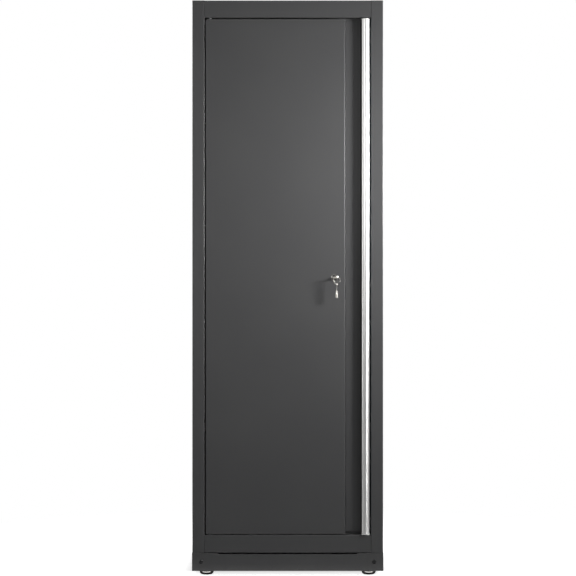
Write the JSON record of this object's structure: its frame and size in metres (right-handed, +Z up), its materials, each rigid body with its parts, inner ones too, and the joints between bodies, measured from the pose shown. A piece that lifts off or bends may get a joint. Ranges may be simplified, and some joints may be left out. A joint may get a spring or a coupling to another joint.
{
  "type": "tool chest side locker",
  "caption": "Tall sheet-steel side locker with one pivot-hung door, full-height pull handle, rod lock with keys, adjustable shelves, kick plate and levelling feet.",
  "frame": {"origin": "on the floor under the middle of the cabinet body", "axes": "+Z up, the door faces -Y, +X to the right of a person facing the door"},
  "size_m": [0.6124, 0.5015, 1.838],
  "materials": {
    "charcoal_paint": "satin charcoal powder coat on folded steel sheet",
    "zinc_steel": "zinc-plated steel",
    "bright_chrome": "polished chrome plate",
    "nickel_steel": "nickel-plated key blanks and ring",
    "black_screw": "black oxide screws",
    "satin_aluminium": "clear anodised extrusion",
    "cap_plastic": "light grey moulded end caps",
    "white_nylon": "natural nylon rod guides",
    "dark_nylon": "graphite-filled nylon pivot bushes",
    "buffer_rubber": "black rubber buffers"
  },
  "bodies": {
    "cabinet": {"left_side_panel": "charcoal_paint", "right_side_panel": "charcoal_paint", "back_panel": "charcoal_paint", "top_panel": "charcoal_paint", "bottom_panel": "charcoal_paint", "top_rail": "charcoal_paint", "bottom_rail": "charcoal_paint", "front_base_rail": "charcoal_paint", "rear_base_rail": "charcoal_paint", "foot_nuts": "zinc_steel", "kick_plate": "charcoal_paint", "kick_plate_screws": "black_screw", "kick_plate_nuts": "zinc_steel", "upright_front_left": "zinc_steel", "upright_front_right": "zinc_steel", "upright_rear_left": "zinc_steel", "upright_rear_right": "zinc_steel", "shelf_clips": "zinc_steel", "shelf_1": "charcoal_paint", "shelf_2": "charcoal_paint", "shelf_3": "charcoal_paint", "shelf_4": "charcoal_paint", "upper_pivot_bush": "dark_nylon", "lower_pivot_bush": "dark_nylon", "door_buffers": "buffer_rubber", "upper_rod_strike": "zinc_steel", "lower_rod_strike": "zinc_steel"},
    "door": {"door_panel": "charcoal_paint", "grip_channel": "charcoal_paint", "lock_channel": "charcoal_paint", "door_stiffener": "charcoal_paint", "pull_handle": "satin_aluminium", "upper_handle_cap": "cap_plastic", "lower_handle_cap": "cap_plastic", "handle_screws": "zinc_steel", "upper_pivot_bracket": "charcoal_paint", "lower_pivot_bracket": "charcoal_paint", "upper_pivot_pin": "zinc_steel", "lower_pivot_pin": "zinc_steel", "lock_housing": "bright_chrome", "lock_nut": "zinc_steel", "rod_guides": "white_nylon"},
    "lock": {"lock_plug": "bright_chrome", "lock_cam": "zinc_steel", "cam_screw": "zinc_steel", "key": "nickel_steel"},
    "upper_rod": {"upper_lock_rod": "zinc_steel"},
    "lower_rod": {"lower_lock_rod": "zinc_steel"},
    "ring": {"key_ring": "nickel_steel"},
    "spare": {"spare_key": "nickel_steel"},
    "foot_front_left": {"glide_front_left": "bright_chrome", "stem_front_left": "zinc_steel"},
    "foot_front_right": {"glide_front_right": "bright_chrome", "stem_front_right": "zinc_steel"},
    "foot_rear_left": {"glide_rear_left": "bright_chrome", "stem_rear_left": "zinc_steel"},
    "foot_rear_right": {"glide_rear_right": "bright_chrome", "stem_rear_right": "zinc_steel"}
  },
  "joints": [
    {"name": "door_hinge", "type": "hinge", "parent": "cabinet", "child": "door", "pos_m": [-0.2495, -0.222, 0.95], "axis": [0, 0, -1], "range_deg": [0, 110]},
    {"name": "lock_turn", "type": "hinge", "parent": "door", "child": "lock", "pos_m": [0.1495, -0.2325, 0.951], "axis": [0, 1, 0], "range_deg": [0, 90]},
    {"name": "upper_rod_slide", "type": "slide", "parent": "door", "child": "upper_rod", "axis": [0, 0, 1], "range_m": [0, 0.0198]},
    {"name": "lower_rod_slide", "type": "slide", "parent": "door", "child": "lower_rod", "axis": [0, 0, -1], "range_m": [0, 0.0198]},
    {"name": "ring_hang", "type": "hinge", "parent": "lock", "child": "ring", "pos_m": [0.1558, -0.2635, 0.951], "axis": [0, 1, 0], "range_deg": [-90, 0]},
    {"name": "spare_key_swing", "type": "hinge", "parent": "ring", "child": "spare", "pos_m": [0.1558, -0.2635, 0.93237], "axis": [-1, 0, 0], "range_deg": [-20, 60]},
    {"name": "foot_front_left_screw", "type": "slide", "parent": "cabinet", "child": "foot_front_left", "axis": [0, 0, -1], "range_m": [0, 0.015]},
    {"name": "foot_front_right_screw", "type": "slide", "parent": "cabinet", "child": "foot_front_right", "axis": [0, 0, -1], "range_m": [0, 0.015]},
    {"name": "foot_rear_left_screw", "type": "slide", "parent": "cabinet", "child": "foot_rear_left", "axis": [0, 0, -1], "range_m": [0, 0.015]},
    {"name": "foot_rear_right_screw", "type": "slide", "parent": "cabinet", "child": "foot_rear_right", "axis": [0, 0, -1], "range_m": [0, 0.015]}
  ],
  "couplings": [
    {"joint": "lower_rod_slide", "follows": "upper_rod_slide", "ratio": 1},
    {"joint": "lock_turn", "follows": "upper_rod_slide", "rad_per_m": 79.33},
    {"joint": "ring_hang", "follows": "upper_rod_slide", "rad_per_m": -79.33}
  ]
}
